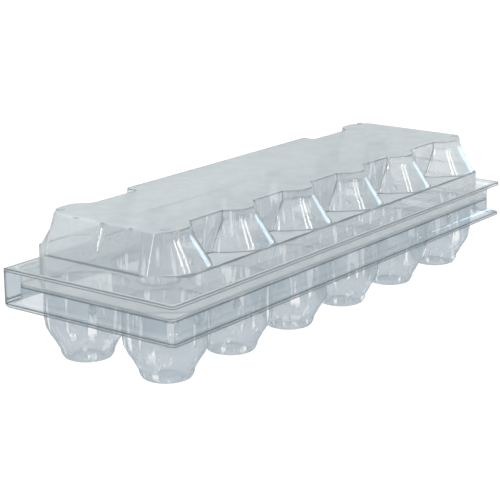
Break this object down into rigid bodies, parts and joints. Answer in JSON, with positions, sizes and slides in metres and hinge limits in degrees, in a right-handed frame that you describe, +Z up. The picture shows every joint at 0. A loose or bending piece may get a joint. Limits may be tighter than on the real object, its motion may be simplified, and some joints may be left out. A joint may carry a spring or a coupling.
{
  "type": "egg carton",
  "caption": "Clear thermoformed egg carton: round flat-footed cups, tall centre posts, and a lid of faceted domes that folds back on a hinge strip.",
  "frame": {"origin": "centre of the footprint, on the surface the feet stand on, carton closed", "axes": "+X along the long side with the hinge behind, +Y from the opening side towards the hinge, +Z up"},
  "size_m": [0.3, 0.105, 0.0748],
  "materials": {
    "lid_sheet": "clear glossy thin sheet",
    "cup_sheet": "clear glossy thin sheet, stretched thinner towards the feet",
    "flange_sheet": "clear glossy thin sheet, a little denser in colour along folds and edges"
  },
  "bodies": {
    "tray": {"front_cup_1": "cup_sheet", "front_cup_2": "cup_sheet", "front_cup_3": "cup_sheet", "front_cup_4": "cup_sheet", "front_cup_5": "cup_sheet", "front_cup_6": "cup_sheet", "back_cup_1": "cup_sheet", "back_cup_2": "cup_sheet", "back_cup_3": "cup_sheet", "back_cup_4": "cup_sheet", "back_cup_5": "cup_sheet", "back_cup_6": "cup_sheet", "centre_post_1": "cup_sheet", "centre_post_2": "cup_sheet", "centre_post_3": "cup_sheet", "centre_post_4": "cup_sheet", "centre_post_5": "cup_sheet", "tray_rim": "flange_sheet", "tray_flange": "flange_sheet", "snap_buttons": "flange_sheet"},
    "hinge": {"hinge_strip": "flange_sheet"},
    "lid": {"lid_flange": "flange_sheet", "lid_rim": "flange_sheet", "lid_wall": "lid_sheet", "lid_ledges": "lid_sheet", "front_dome_1": "lid_sheet", "front_dome_2": "lid_sheet", "front_dome_3": "lid_sheet", "front_dome_4": "lid_sheet", "front_dome_5": "lid_sheet", "front_dome_6": "lid_sheet", "back_dome_1": "lid_sheet", "back_panel": "lid_sheet", "back_dome_6": "lid_sheet", "left_end_panel": "lid_sheet", "right_end_panel": "lid_sheet", "valley_walls": "lid_sheet", "lid_top": "lid_sheet", "stacking_lugs": "lid_sheet"}
  },
  "joints": [
    {"name": "strip_fold", "type": "hinge", "parent": "tray", "child": "hinge", "pos_m": [0, 0.0525, 0.029], "axis": [-1, 0, 0], "range_deg": [0, 90]},
    {"name": "lid_fold", "type": "hinge", "parent": "hinge", "child": "lid", "pos_m": [0, 0.0525, 0.0466], "axis": [-1, 0, 0], "range_deg": [0, 90]}
  ]
}
